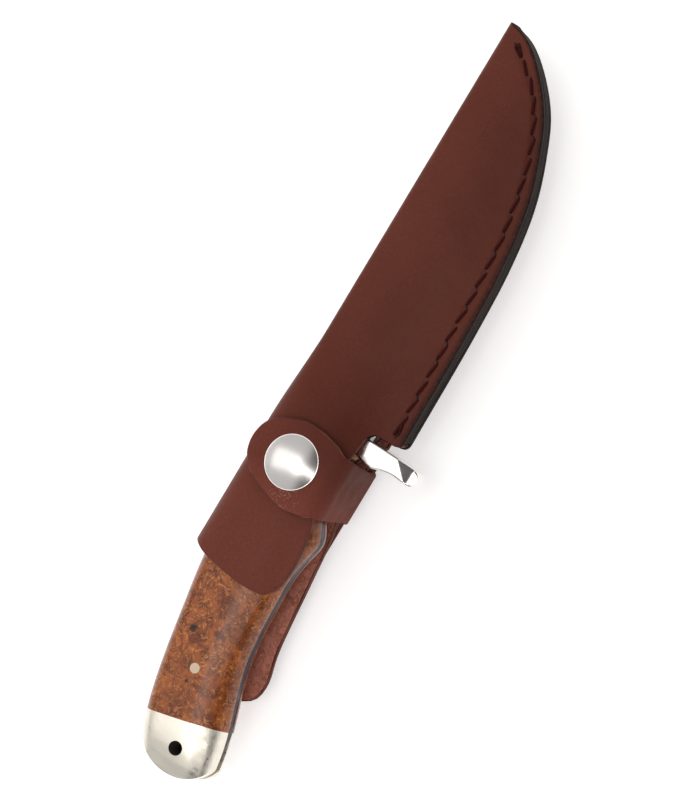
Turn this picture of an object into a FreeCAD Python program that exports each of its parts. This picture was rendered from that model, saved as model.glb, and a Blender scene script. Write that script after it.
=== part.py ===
import FreeCAD, Part
import math
import os
from FreeCAD import Vector

# Sheathed fixed-blade knife.  Modelling axes: +X from the spine to the cutting edge,
# +Y from the pommel to the sheath tip, +Z from the belt loop up to the press stud.
# X = 0 is the sheath's fold, Y = 0 the guard's tip side, Z = 0 the belt loop's outer
# face.  Every sub-part's Placement then carries it to the centre of the whole object.
SIZES = {
    "centre_x": 22.2,
    "centre_y": 5.4,
    "mid_plane": 18.8,
    "leather": 2.2,
    "blade_thickness": 3.0,
    "pocket_half": 1.75,
    "handle_half": 9.5,
    "handle_space_half": 9.8,
    "guard_depth": 5.3,
    "guard_half": 5.2,
    "quillon_half": 3.9,
    "quillon_end": 44.2,
    "handle_pin_radius": 1.4,
    "pommel_pin_radius": 1.2,
    "rear_pin_x": 20.0,
    "rear_pin_y": -75.9,
    "front_pin_x": 14.5,
    "front_pin_y": -36.0,
    "lanyard_radius": 2.0,
    "lanyard_x": 26.7,
    "lanyard_y": -96.8,
    "thread_radius": 0.45,
    "stitch_pitch": 5.5,
    "loop_thickness": 2.0,
    "loop_width": 22.0,
    "loop_left": 4.5,
    "strap_thickness": 2.0,
    "strap_width": 16.8,
    "strap_top_y": -7.4,
    "strap_hinge_x": 28.4,
    "strap_low_hinge_z": 5.8,
    "strap_top_hinge_z": 33.0,
    "strap_end_gap": 1.1,
    "snap_x": 15.4,
    "snap_y": -15.0,
    "snap_cap_radius": 7.6,
    "snap_cap_height": 2.6,
    "snap_bore_radius": 3.1,
    "snap_barrel_wall": 0.4,
    "snap_flange_radius": 5.2,
    "stud_head_radius": 2.5,
    "snap_post_radius": 1.6,
    "snap_post_flange_radius": 4.5,
    "snap_tube_radius": 0.9,
    "snap_flange_thickness": 0.4,
}

doc = FreeCAD.newDocument("sheathed_knife")
sheet = doc.addObject("Spreadsheet::Sheet", "Sizes")
for row, (alias, value) in enumerate(SIZES.items(), start=1):
    sheet.set(f"A{row}", alias)
    sheet.set(f"B{row}", str(value))
    sheet.setAlias(f"B{row}", alias)
doc.recompute()
subparts = []


def size(alias):
    return float(sheet.get(alias))


MID = size("mid_plane")
LEATHER = size("leather")
BLADE_HALF = size("blade_thickness") / 2
POCKET = size("pocket_half")
SPACE = size("handle_space_half")
GUARD_BACK = -size("guard_depth")


TALL = 60.0  # reaches beyond the whole object, for blocks that only trim


# ---------------------------------------------------------------- helpers
def place(part, height="0"):
    """Carry a sub-part from the modelling axes to the object's own frame."""
    part.setExpression("Placement.Base.x", "-Sizes.centre_x")
    part.setExpression("Placement.Base.y", "-Sizes.centre_y")
    part.setExpression("Placement.Base.z", height)
    subparts.append(part)


def solid_part(label, shape):
    """A sub-part whose shape comes from lofts or booleans of free forms."""
    part = doc.addObject("Part::Feature", label)
    part.Label = label
    part.Shape = shape
    place(part)
    return part


def origin_plane(body, role):
    return [item for item in body.Origin.OriginFeatures if item.Role == role][0]


def sketch_on(body, name, role, geometry):
    sketch = body.newObject("Sketcher::SketchObject", name)
    sketch.AttachmentSupport = [(origin_plane(body, role), "")]
    sketch.MapMode = "FlatFace"
    sketch.addGeometry(geometry, False)
    return sketch


def new_body(label):
    body = doc.addObject("PartDesign::Body", label)
    body.Label = label
    return body


def padded_body(label, geometry, length, height, role="XY_Plane"):
    """A plate: one closed sketch, padded by an expression."""
    body = new_body(label)
    sketch = sketch_on(body, label + "_outline", role, geometry)
    pad = body.newObject("PartDesign::Pad", label + "_pad")
    pad.Profile = sketch
    pad.setExpression("Length", length)
    place(body, height)
    return body


def pocket_sketch(body, name, geometry):
    """Cut a closed sketch through the whole body, upwards from the XY plane."""
    sketch = sketch_on(body, name + "_sketch", "XY_Plane", geometry)
    pocket = body.newObject("PartDesign::Pocket", name)
    pocket.Profile = sketch
    pocket.Type = "ThroughAll"
    pocket.Reversed = True


def pocket_circles(body, name, centres, radius):
    circles = [Part.Circle(Vector(x, y, 0), Vector(0, 0, 1), radius) for x, y in centres]
    pocket_sketch(body, name, circles)


def flat(points):
    return [Vector(x, y, 0) for x, y in points]


def spline(points):
    curve = Part.BSplineCurve()
    curve.interpolate(flat(points))
    return curve


def lines(points):
    corners = flat(points)
    return [Part.LineSegment(a, b) for a, b in zip(corners, corners[1:])]


def closed(points):
    return lines(points + points[:1])


def prism(geometry, low, high):
    """Closed outline in plan, extruded from one height to another."""
    wire = Part.Wire(Part.__sortEdges__([piece.toShape() for piece in geometry]))
    face = Part.Face(wire)
    face.translate(Vector(0, 0, low))
    return face.extrude(Vector(0, 0, high - low))


def cylinder(x, y, low, high, radius):
    return Part.makeCylinder(radius, high - low, Vector(x, y, low))


def fused(shapes):
    return shapes[0].multiFuse(shapes[1:]).removeSplitter() if len(shapes) > 1 else shapes[0]


# ---------------------------------------------------------------- outlines in plan
SHEATH_EDGE = [(0.4, 115.0), (6.2, 113.4), (12.6, 109.0), (21.5, 99.0), (27.4, 87.0), (31.4, 75.0),
               (34.0, 59.0), (35.2, 39.0), (35.8, 5.0)]
STITCH_LINE = [(8.6, 108.0), (17.0, 101.0), (24.2, 88.0), (29.6, 65.5), (31.6, 35.0), (32.8, 6.0)]
WELT_INNER_EDGE = [(3.2, 110.8), (11.5, 103.5), (20.2, 91.0), (26.4, 68.0), (28.6, 35.0), (29.2, 3.4)]
BLADE_EDGE = [(26.5, 0.5), (27.1, 9.0), (27.1, 38.0), (25.6, 65.0), (20.0, 86.5), (11.6, 99.5), (5.0, 107.4)]
JOINT_LOW = (12.1, -92.8)
JOINT_HIGH = (35.0, -86.6)
HANDLE_BELLY = [(26.2, GUARD_BACK), (24.9, -11.0), (24.7, -17.0), (26.0, -24.0), (29.2, -29.4),
                (29.5, -32.0), (28.5, -36.5), (27.7, -47.0), (27.9, -57.0), (29.8, -70.0), JOINT_HIGH]
HANDLE_BACK = [(3.8, GUARD_BACK), (3.0, -30.0), (3.5, -50.0), (6.3, -67.0), (8.8, -81.0), JOINT_LOW]
POMMEL_END = [JOINT_LOW, (17.0, -100.8), (26.5, -104.2), (35.2, -100.7), (37.8, -93.4), JOINT_HIGH]

# X, Y and radius: two scale pins, the lanyard hole, two pommel pins
HANDLE_HOLES = [(size("front_pin_x"), size("front_pin_y"), size("handle_pin_radius")),
                (size("rear_pin_x"), size("rear_pin_y"), size("handle_pin_radius")),
                (size("lanyard_x"), size("lanyard_y"), size("lanyard_radius")),
                (19.5, -94.6, size("pommel_pin_radius")),
                (31.6, -91.4, size("pommel_pin_radius"))]


def side_at(outline, y):
    """X of an outline curve at a given Y."""
    level = Part.LineSegment(Vector(-60, y, 0), Vector(90, y, 0)).toShape()
    nearest = spline(outline).toShape().distToShape(level)[1][0]
    return nearest[0].x


# ---------------------------------------------------------------- knife
def bored(shape, wanted):
    tools = [cylinder(x, y, 0, TALL, radius) for x, y, radius in wanted]
    return shape.cut(tools)


def blade_section(y, spine_x, edge_x):
    """Flat spine, a grind line, and bevels that meet at the cutting edge."""
    grind_share, edge_half = 0.35, 0.12
    grind_x = spine_x + grind_share * (edge_x - spine_x)
    rim = [(spine_x, -BLADE_HALF), (grind_x, -BLADE_HALF), (edge_x, -edge_half),
           (edge_x, edge_half), (grind_x, BLADE_HALF), (spine_x, BLADE_HALF)]
    corners = [Vector(x, y, MID + z) for x, z in rim]
    return Part.makePolygon(corners + corners[:1])


def make_blade():
    """Full-tang blade: ground part, plain ricasso and the tang between the scales."""
    spine_x, ricasso_end = 4.2, 9.0
    stations = [ricasso_end, 24.0, 40.0, 56.0, 70.0, 82.0, 92.0, 100.0, 105.0, 107.2]
    sections = [blade_section(y, spine_x, side_at(BLADE_EDGE, y)) for y in stations]
    ground = Part.makeLoft(sections, True, False)
    ricasso = prism(lines([(spine_x, GUARD_BACK), HANDLE_BELLY[0], BLADE_EDGE[1], (spine_x, ricasso_end),
                           (spine_x, GUARD_BACK)]), MID - BLADE_HALF, MID + BLADE_HALF)
    tang_end = [JOINT_LOW, (18.0, -98.6), (26.5, -102.6), (33.6, -98.8), (35.6, -92.6), JOINT_HIGH]
    rim = [spline(HANDLE_BACK), spline(HANDLE_BELLY), spline(tang_end)]
    rim += lines([HANDLE_BACK[0], HANDLE_BELLY[0]])
    tang = prism(rim, MID - BLADE_HALF, MID + BLADE_HALF)
    return bored(fused([ground, ricasso, tang]), HANDLE_HOLES)


def arch(y, left, right, side, rise):
    """Rounded cross-section of one half of the handle, flat against the tang."""
    foot = MID + side * BLADE_HALF
    width = right - left
    share = [(0.0, 0.0), (0.025, 0.36), (0.13, 0.78), (0.32, 0.96), (0.52, 1.0), (0.71, 0.95), (0.87, 0.74),
             (0.975, 0.36), (1.0, 0.0)]
    points = [Vector(left + a * width, y, foot + side * b * rise) for a, b in share]
    curve = Part.BSplineCurve()
    curve.interpolate(points)
    return Part.Wire([curve.toShape(), Part.LineSegment(points[-1], points[0]).toShape()])


def handle_half(side):
    """One half of the grip from the guard to past the end of the pommel."""
    full = size("handle_half") - BLADE_HALF
    wires = []
    for y in (GUARD_BACK, -9.0, -13.0, -18.0, -23.0, -27.0, -31.0, -35.0, -41.0, -50.0, -62.0, -74.0, -86.0):
        rise = full * (0.84 if y == GUARD_BACK else 1.0)
        wires.append(arch(y, side_at(HANDLE_BACK, y), side_at(HANDLE_BELLY, y), side, rise))
    wires.append(arch(-94.0, 12.4, 36.8, side, full * 0.98))
    wires.append(arch(-100.0, 15.0, 37.6, side, full * 0.86))
    wires.append(arch(-106.0, 17.0, 38.0, side, full * 0.55))
    return Part.makeLoft(wires, True, False)


def beyond_joint(towards_pommel):
    """Block on one side of the slanted joint between wood and pommel."""
    low, high = Vector(*JOINT_LOW, 0), Vector(*JOINT_HIGH, 0)
    along = (high - low).normalize()
    out = Vector(along.y, -along.x, 0) * (TALL if towards_pommel else -2 * TALL)
    start, end = low - along * TALL, high + along * TALL
    corners = [start, end, end + out, start + out, start]
    face = Part.Face(Part.makePolygon(corners))
    return face.extrude(Vector(0, 0, TALL))


def make_scale(side):
    wood = handle_half(side).common(beyond_joint(False))
    return bored(wood, HANDLE_HOLES[:2])


def make_pommel(side):
    """Nickel silver end plate: the grip's section trimmed to a round end."""
    rim = [spline(POMMEL_END)] + lines([JOINT_HIGH, (36.5, -80.0), (8.0, -86.0), JOINT_LOW])
    plate = handle_half(side).common(beyond_joint(True)).common(prism(rim, 0, TALL))
    return bored(plate, HANDLE_HOLES[2:])


def make_guard():
    """Plate around the tang with a waisted quillon on the edge side."""
    depth = GUARD_BACK
    quillon_end = size("quillon_end")
    front = [(3.4, 0.0), (14.0, 0.4), (28.0, 0.2), (quillon_end - 1.4, -0.3)]
    end = [(quillon_end - 1.4, -0.3), (quillon_end, -1.6), (quillon_end, -3.7), (quillon_end - 1.2, -5.0)]
    rear = [(quillon_end - 1.2, -5.0), (37.5, -4.4), (31.0, -6.3), (27.0, depth)]
    rim = [spline(front), spline(end), spline(rear)] + lines([(27.0, depth), (3.4, depth), (3.4, 0.0)])
    half, slim = size("guard_half"), size("quillon_half")
    plate = prism(rim, MID - half, MID + half)
    profile = [(3.0, half - 1.0), (5.5, half), (17.0, half), (26.0, slim), (46.0, slim)]
    top = [Vector(x, -12, MID + z) for x, z in profile]
    bottom = [Vector(x, -12, MID - z) for x, z in reversed(profile)]
    block = Part.Face(Part.makePolygon(top + bottom + top[:1])).extrude(Vector(0, 24, 0))
    return plate.common(block).cut(make_blade())


def make_pin(label, x_cell, y_cell):
    """Round pin, polished flush with the faces of the scales."""
    pin = doc.addObject("Part::Cylinder", label)
    pin.Label = label
    pin.setExpression("Radius", "Sizes.handle_pin_radius")
    pin.setExpression("Height", "2 * Sizes.handle_half")
    pin.setExpression("Placement.Base.x", f"Sizes.{x_cell} - Sizes.centre_x")
    pin.setExpression("Placement.Base.y", f"Sizes.{y_cell} - Sizes.centre_y")
    pin.setExpression("Placement.Base.z", "Sizes.mid_plane - Sizes.handle_half")
    subparts.append(pin)


def make_pommel_pins():
    """Two peened pins that hold the end plates to the tang."""
    grip = handle_half(1).fuse(handle_half(-1)).fuse(
        prism(closed([(8, -104), (40, -104), (40, -88), (8, -88)]), MID - BLADE_HALF, MID + BLADE_HALF))
    rods = [cylinder(x, y, 0, TALL, radius).common(grip) for x, y, radius in HANDLE_HOLES[3:]]
    return Part.makeCompound(rods)


solid_part("blade", make_blade())
solid_part("guard", make_guard())
solid_part("scale_front", make_scale(1))
solid_part("scale_back", make_scale(-1))
solid_part("pommel_front", make_pommel(1))
solid_part("pommel_back", make_pommel(-1))
solid_part("pommel_pins", make_pommel_pins())
make_pin("front_handle_pin", "front_pin_x", "front_pin_y")
make_pin("rear_handle_pin", "rear_pin_x", "rear_pin_y")


# ---------------------------------------------------------------- sheath leather
def half_section(y, inset, fold, crown, edge, right, side):
    """Points of one panel from its sewn side to the fold; side is 1 in front, -1 behind."""
    radius = fold - inset
    corner = radius * (1 - math.sqrt(0.5))
    top, low = crown - inset, edge - inset
    rim = [(right, low), (31.0, low), (20.0, top), (fold, top), (inset + corner, top - corner),
           (inset, top - radius)]
    return [Vector(x, y, MID + side * z) for x, z in rim]


def sleeve_section(y, inset, fold, crown, edges, right):
    """Closed folded-over section: heights are half thicknesses about the mid plane.

    The fold is at the left; crown is the height over the blade or grip, and edges
    the heights of the front and back panel along the open or sewn side.
    """
    front = half_section(y, inset, fold, crown, edges[0], right, 1)
    back = half_section(y, inset, fold, crown, edges[1], right, -1)
    pieces = [Part.LineSegment(back[0], front[0])]
    pieces += [Part.LineSegment(a, b) for a, b in zip(front[:3], front[1:4])]
    pieces += [Part.Arc(*front[3:]), Part.LineSegment(front[5], back[5]), Part.Arc(*reversed(back[3:]))]
    pieces += [Part.LineSegment(b, a) for a, b in reversed(list(zip(back[:3], back[1:4])))]
    return Part.Wire([piece.toShape() for piece in pieces])


def sleeve(inset, right):
    """Solid inside a surface that lies inset below the leather's outer face."""
    pocket = POCKET + LEATHER
    roomy = SPACE + LEATHER
    sewn = (pocket, pocket)
    stations = [(125.0, 3.4, pocket, sewn), (20.0, 3.4, pocket, sewn),
                (2.2, 6.5, 9.4, (pocket + 0.2, pocket + 0.2)),
                (-9.0, 9.0, roomy, (8.8, roomy)), (-90.0, 9.0, roomy, (9.6, roomy))]
    wires = [sleeve_section(y, inset, fold, crown, edges, right) for y, fold, crown, edges in stations]
    return Part.makeLoft(wires, True, True)


MOUTH = [(34.8, 2.2), (28.6, 2.2), (27.2, 0.9), (26.7, -2.5)]
FRONT_RIM = lines([(26.7, -2.5), (26.7, -23.4)])
FRONT_RIM += [spline([(26.7, -23.4), (28.4, -26.5), (28.8, -35.0), (28.8, -43.0), (27.4, -48.0),
                      (22.8, -50.0), (14.0, -49.7), (5.0, -48.2)])]
FRONT_RIM += lines([(5.0, -48.2), (-3.0, -45.6)])
BACK_RIM = lines([(26.7, -2.5), (26.7, -23.6)])
BACK_RIM += [spline([(26.7, -23.6), (27.9, -28.9), (29.3, -42.0), (31.5, -62.7), (33.8, -73.2), (31.3, -78.8),
                     (24.0, -81.0), (14.0, -79.6), (7.0, -72.0), (3.6, -60.0), (-3.0, -46.5)])]


def panel_outline(rim, last):
    """Outline of one panel: shared edge and mouth, then its own lower rim."""
    top = spline(SHEATH_EDGE)
    shared = [top] + lines([SHEATH_EDGE[-1]] + MOUTH)
    return shared + rim + lines([last, (-3.0, 115.0), SHEATH_EDGE[0]])


def make_leather():
    """One blank folded along the spine: front with its tongue, back with its tab."""
    shell = sleeve(0.0, 40.0).cut(sleeve(LEATHER, 41.0))
    front = shell.common(prism(panel_outline(FRONT_RIM, (-3.0, -45.6)), MID, MID + 30))
    back = shell.common(prism(panel_outline(BACK_RIM, (-3.0, -46.5)), MID - 30, MID))
    return front.fuse(back).removeSplitter()


def stitch_points():
    line = spline(STITCH_LINE).toShape()
    count = round(line.Length / size("stitch_pitch")) + 1
    return line.discretize(Number=count)


def lock_stitch(points, low_bar, high_bar):
    """Posts through the leather at each hole, joined by bars between two height spans."""
    radius = size("thread_radius")
    posts = [cylinder(p.x, p.y, low_bar[0], high_bar[1], radius) for p in points]
    bars = []
    for a, b in zip(points, points[1:]):
        along = b - a
        side = Vector(-along.y, along.x, 0).normalize() * radius * 0.8
        bars += [prism(lines([(v.x, v.y) for v in (a - side, b - side, b + side, a + side, a - side)]), *span)
                 for span in (low_bar, high_bar)]
    return fused(posts + bars)


def sewn_rows(rows, low, high):
    """Stitches proud of the outer face and sunk below the inner face."""
    return [lock_stitch(row, (low - 0.35, low), (high - 0.4, high - 0.05)) for row in rows]


def box_rows(left, right, low, high, across, along):
    """Rows of holes of a rectangle of stitching, row by row."""
    rows = []
    for i in range(across):
        x = left + (right - left) * i / (across - 1)
        rows.append([Vector(x, low + (high - low) * k / (along - 1), 0) for k in range(along)])
    return rows


POCKET_OUT = POCKET + LEATHER
SPACE_OUT = SPACE + LEATHER
STRAP = size("strap_thickness")
LOOP = size("loop_thickness")
FLANGE = size("snap_flange_thickness")

TOP_ROWS = box_rows(8.0, 23.0, 24.0, 31.5, 2, 4)
TAB_ROWS = box_rows(12.0, 23.5, -77.0, -69.5, 2, 4)
STRAP_ROWS = box_rows(11.0, 23.0, -21.0, -13.0, 2, 4)

edge_thread = lock_stitch(stitch_points(), (MID - POCKET_OUT - 0.25, MID - POCKET_OUT + 0.25),
                          (MID + POCKET_OUT - 0.25, MID + POCKET_OUT + 0.25))
loop_threads = sewn_rows(TOP_ROWS, MID - POCKET_OUT - LOOP, MID - POCKET)
loop_threads += sewn_rows(TAB_ROWS, MID - SPACE_OUT - LOOP, MID - SPACE)
strap_threads = sewn_rows(STRAP_ROWS, MID - SPACE_OUT - STRAP, MID - SPACE)

POST_RADIUS, POST_FLANGE = size("snap_post_radius"), size("snap_post_flange_radius")
snap_bore = cylinder(size("snap_x"), size("snap_y"), MID + SPACE / 2, MID + 2 * SPACE, POST_RADIUS)
post_flange = cylinder(size("snap_x"), size("snap_y"), MID + SPACE, MID + SPACE + FLANGE, POST_FLANGE)
leather = make_leather().cut([edge_thread] + loop_threads + strap_threads + [snap_bore, post_flange])
solid_part("sheath_leather", leather)
solid_part("edge_stitching", edge_thread)
solid_part("loop_stitching", Part.makeCompound(loop_threads))
solid_part("strap_stitching", Part.makeCompound(strap_threads))


# ---------------------------------------------------------------- welt and belt loop
def make_welt():
    """Filler strip between the two panels along the sewn edge, with the stitch holes."""
    start, finish = SHEATH_EDGE[0], WELT_INNER_EDGE[0]
    heel, inner_heel = SHEATH_EDGE[-1], WELT_INNER_EDGE[-1]
    rim = [spline(SHEATH_EDGE), spline(WELT_INNER_EDGE)]
    rim += lines([heel, (35.0, 3.4), inner_heel]) + lines([start, (2.4, 112.6), finish])
    body = padded_body("welt", rim, "2 * Sizes.pocket_half", "Sizes.mid_plane - Sizes.pocket_half")
    doc.recompute()
    holes = [(p.x, p.y) for p in stitch_points()]
    pocket_circles(body, "welt_stitch_holes", holes, size("thread_radius"))
    doc.recompute()
    fold_side = lines([(-2.0, 105.0), (3.5, 105.0), (3.5, 118.0), (-2.0, 118.0), (-2.0, 105.0)])
    pocket_sketch(body, "welt_tip_trim", fold_side)


def make_belt_loop():
    """Bridge of leather behind the sheath that a belt passes through."""
    top = MID - POCKET_OUT
    foot = MID - SPACE_OUT
    upper = [(34.0, top), (21.0, top), (3.0, LOOP), (-63.0, LOOP), (-67.5, foot), (-79.0, foot)]
    lower = [(-79.0, foot - LOOP), (-68.3, foot - LOOP), (-63.8, 0.0), (3.6, 0.0), (21.6, top - LOOP),
             (34.0, top - LOOP)]
    body = padded_body("belt_loop", closed(upper + lower), "Sizes.loop_width", "0", role="YZ_Plane")
    body.setExpression("Placement.Base.x", "Sizes.loop_left - Sizes.centre_x")
    doc.recompute()
    holes = [(p.x - size("loop_left"), p.y) for row in TOP_ROWS + TAB_ROWS for p in row]
    pocket_circles(body, "loop_stitch_holes", holes, size("thread_radius"))


make_welt()
make_belt_loop()


# ---------------------------------------------------------------- strap
HINGE_X = size("strap_hinge_x")
LOW_HINGE = size("strap_low_hinge_z")
TOP_HINGE = size("strap_top_hinge_z")
STRAP_INNER = HINGE_X - size("strap_end_gap")


def make_strap_root():
    """End of the strap, sewn flat to the outside of the back panel."""
    top, low = size("strap_top_y"), size("strap_top_y") - size("strap_width")
    rim = lines([(STRAP_INNER, top), (STRAP_INNER, low), (11.0, low)])
    rim += [Part.Arc(*flat([(11.0, low), (7.0, (low + top - 1.0) / 2), (11.0, top - 1.0)]))]
    rim += lines([(11.0, top - 1.0), (STRAP_INNER, top)])
    body = padded_body("strap_root", rim, "Sizes.strap_thickness",
                       "Sizes.strap_low_hinge_z - Sizes.strap_thickness / 2")
    doc.recompute()
    holes = [(p.x, p.y) for row in STRAP_ROWS for p in row]
    pocket_circles(body, "strap_stitch_holes", holes, size("thread_radius"))


def make_strap_side():
    """Part of the strap beside the grip, rounded where it bends at both corners."""
    half = STRAP / 2
    rim = [Part.Arc(*flat([(HINGE_X - half, LOW_HINGE), (HINGE_X, LOW_HINGE - half),
                           (HINGE_X + half, LOW_HINGE)])),
           Part.Arc(*flat([(HINGE_X - half, TOP_HINGE), (HINGE_X, TOP_HINGE + half),
                           (HINGE_X + half, TOP_HINGE)]))]
    for x in (HINGE_X - half, HINGE_X + half):
        rim += lines([(x, LOW_HINGE), (x, TOP_HINGE)])
    body = new_body("strap_side")
    sketch = sketch_on(body, "strap_side_outline", "XZ_Plane", rim)
    pad = body.newObject("PartDesign::Pad", "strap_side_pad")
    pad.Profile = sketch
    pad.setExpression("Length", "Sizes.strap_width")
    place(body)
    body.setExpression("Placement.Base.y", "Sizes.strap_top_y - Sizes.centre_y")


def make_strap_flap():
    """Free end of the strap: straight sides that swell to a round end under the stud."""
    lower = [(STRAP_INNER, -25.2), (24.3, -26.4), (20.2, -27.0), (16.0, -26.4), (11.0, -24.9), (5.4, -22.4)]
    end = [(5.4, -22.4), (2.2, -18.8), (1.2, -14.4), (2.8, -9.6), (6.8, -6.0)]
    upper = [(6.8, -6.0), (12.4, -3.8), (19.6, -3.9), (24.4, -5.1), (STRAP_INNER, -6.4)]
    rim = [spline(lower), spline(end), spline(upper)]
    rim += lines([(STRAP_INNER, -6.4), (STRAP_INNER, -25.2)])
    body = padded_body("strap_flap", rim, "Sizes.strap_thickness",
                       "Sizes.strap_top_hinge_z - Sizes.strap_thickness / 2")
    doc.recompute()
    bore = size("snap_bore_radius") + size("snap_barrel_wall")
    pocket_circles(body, "snap_hole", [(size("snap_x"), size("snap_y"))], bore)


make_strap_root()
make_strap_side()
make_strap_flap()


# ---------------------------------------------------------------- press stud
FLAP_LOW = TOP_HINGE - STRAP / 2
FLAP_TOP = TOP_HINGE + STRAP / 2
PANEL_TOP = MID + SPACE_OUT


def turned_body(label, profile):
    """Ring or disc turned about the press stud's axis from radius, height points."""
    body = new_body(label)
    sketch = sketch_on(body, label + "_profile", "XZ_Plane", profile)
    turn = body.newObject("PartDesign::Revolution", label + "_turn")
    turn.Profile = sketch
    turn.ReferenceAxis = (sketch, ["V_Axis"])
    turn.Angle = 360
    body.setExpression("Placement.Base.x", "Sizes.snap_x - Sizes.centre_x")
    body.setExpression("Placement.Base.y", "Sizes.snap_y - Sizes.centre_y")
    subparts.append(body)


def make_snap_cap():
    """Domed cap with a boss that fills the top of the socket."""
    cap, rise = size("snap_cap_radius"), size("snap_cap_height")
    boss, edge = size("snap_bore_radius") - 0.05, 0.7
    under = [(0.0, FLAP_TOP - 0.6), (boss, FLAP_TOP - 0.6), (boss, FLAP_TOP + 0.05), (cap, FLAP_TOP + 0.05)]
    shoulder = (cap - edge, FLAP_TOP + edge)
    top = (0.0, FLAP_TOP + rise)
    rim = lines(under + [(cap, FLAP_TOP + 0.5), shoulder])
    dome_radius = (shoulder[0] ** 2 + (rise - edge) ** 2) / (2 * (rise - edge))
    turn = math.asin(shoulder[0] / dome_radius) / 2
    middle = (dome_radius * math.sin(turn), top[1] - dome_radius * (1 - math.cos(turn)))
    turned_body("snap_cap", rim + [Part.Arc(*flat([shoulder, middle, top]))] + lines([top, under[0]]))


def make_snap_socket():
    """Eyelet that lines the hole in the flap, with the spring ring at its mouth."""
    bore, flange, head = size("snap_bore_radius"), size("snap_flange_radius"), size("stud_head_radius")
    sleeve_radius, lip = bore + size("snap_barrel_wall"), 0.7
    turned_body("snap_socket", closed([
        (bore, FLAP_LOW - lip), (flange, FLAP_LOW - lip), (flange, FLAP_LOW), (sleeve_radius, FLAP_LOW),
        (sleeve_radius, FLAP_TOP), (bore, FLAP_TOP)]))
    inner, low, high = head + 0.1, FLAP_LOW - 0.45, FLAP_LOW - 0.1
    turned_body("snap_spring", closed([(inner, low), (bore, low), (bore, high), (inner, high)]))


def make_snap_stud():
    """Stud on the tongue, clenched over the tubular post that comes through it."""
    flange, head, tube = size("snap_flange_radius"), size("stud_head_radius"), size("snap_tube_radius")
    neck, tip = head - 0.5, FLAP_LOW + 0.9
    turned_body("snap_stud", closed([
        (tube, PANEL_TOP), (flange, PANEL_TOP), (flange, PANEL_TOP + FLANGE), (neck, PANEL_TOP + FLANGE),
        (neck, FLAP_LOW), (head, FLAP_LOW + 0.25), (head, FLAP_LOW + 0.6), (neck, tip), (tube, tip)]))
    foot, shelf = MID + SPACE + 0.02, MID + SPACE + FLANGE
    turned_body("snap_post", closed([
        (0.0, foot), (POST_FLANGE, foot), (POST_FLANGE, shelf), (POST_RADIUS, shelf),
        (POST_RADIUS, PANEL_TOP), (tube, PANEL_TOP), (tube, tip), (0.0, tip)]))


make_snap_cap()
make_snap_socket()
make_snap_stud()


# ---------------------------------------------------------------- check and export
doc.recompute()
for item in doc.Objects:
    if "Invalid" in item.State or "Error" in item.State:
        raise RuntimeError(f"{item.Label} failed: {item.State}")
for part in subparts:
    if part.Shape.isNull() or not part.Shape.isValid():
        raise RuntimeError(f"{part.Label} has no valid shape")

os.makedirs("parts", exist_ok=True)
for part in subparts:
    part.Shape.exportStep(f"parts/{part.Label}.step")
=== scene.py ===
import math
import random
from bisect import bisect_left

import bmesh
import bpy
from mathutils import Matrix, Vector


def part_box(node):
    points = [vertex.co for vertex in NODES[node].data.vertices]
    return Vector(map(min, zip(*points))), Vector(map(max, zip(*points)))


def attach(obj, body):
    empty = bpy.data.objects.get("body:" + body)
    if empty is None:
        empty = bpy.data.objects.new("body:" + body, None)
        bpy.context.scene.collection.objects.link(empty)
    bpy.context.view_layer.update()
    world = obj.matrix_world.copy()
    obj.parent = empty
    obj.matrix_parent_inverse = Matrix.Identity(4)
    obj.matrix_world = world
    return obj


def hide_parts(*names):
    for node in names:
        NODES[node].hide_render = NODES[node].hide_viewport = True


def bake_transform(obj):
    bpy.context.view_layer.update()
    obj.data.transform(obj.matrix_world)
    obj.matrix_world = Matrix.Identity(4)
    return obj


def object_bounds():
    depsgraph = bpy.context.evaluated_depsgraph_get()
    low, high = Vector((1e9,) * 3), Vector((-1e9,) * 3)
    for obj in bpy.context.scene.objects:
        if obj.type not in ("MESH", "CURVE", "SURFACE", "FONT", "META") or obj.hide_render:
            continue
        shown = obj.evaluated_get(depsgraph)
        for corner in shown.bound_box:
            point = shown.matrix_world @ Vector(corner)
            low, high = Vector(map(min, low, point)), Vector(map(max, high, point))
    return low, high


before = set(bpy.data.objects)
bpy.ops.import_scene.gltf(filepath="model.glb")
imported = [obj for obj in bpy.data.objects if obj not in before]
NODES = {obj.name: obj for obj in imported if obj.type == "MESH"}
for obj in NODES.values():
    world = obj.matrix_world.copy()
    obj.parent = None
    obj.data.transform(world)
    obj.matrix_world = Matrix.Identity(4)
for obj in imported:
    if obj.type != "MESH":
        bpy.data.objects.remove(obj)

CAD_BOX = [list(corner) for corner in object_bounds()]
MM = 0.001

# Lengths below are millimetres: x from the sheath's fold, y from the guard towards the
# sheath's tip, z from the knife's mid plane.  ORIGIN places that corner in the frame.
SHEATH_LENGTH = 115.0
sheath_low, sheath_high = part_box("sheath_leather")
blade_low, blade_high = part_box("blade")
ORIGIN = Vector((sheath_low[0], sheath_high[1] - SHEATH_LENGTH * MM, (blade_low[2] + blade_high[2]) / 2))
POCKET_OUT = 3.95  # half thickness of the sheath over the blade
SPACE_OUT = 12.0  # half thickness of the sheath over the grip
LEATHER = 2.2


def at(x, y, z):
    """Point of the frame, in metres, from millimetres about the fold, guard and mid plane."""
    return ORIGIN + Vector((x, y, z)) * MM


# ---------------------------------------------------------------- curves and meshes
def ramp(value, start, end):
    """0 up to start, then a smooth rise to 1 at end; end may be the smaller number."""
    t = min(max((value - start) / (end - start), 0.0), 1.0)
    return t * t * (3 - 2 * t)


def lerp(a, b, t):
    return a + (b - a) * t


def running_lengths(points):
    """Length from the first point to each point of a polyline."""
    lengths = [0.0]
    for a, b in zip(points, points[1:]):
        lengths.append(lengths[-1] + (b - a).length)
    return lengths


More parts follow.
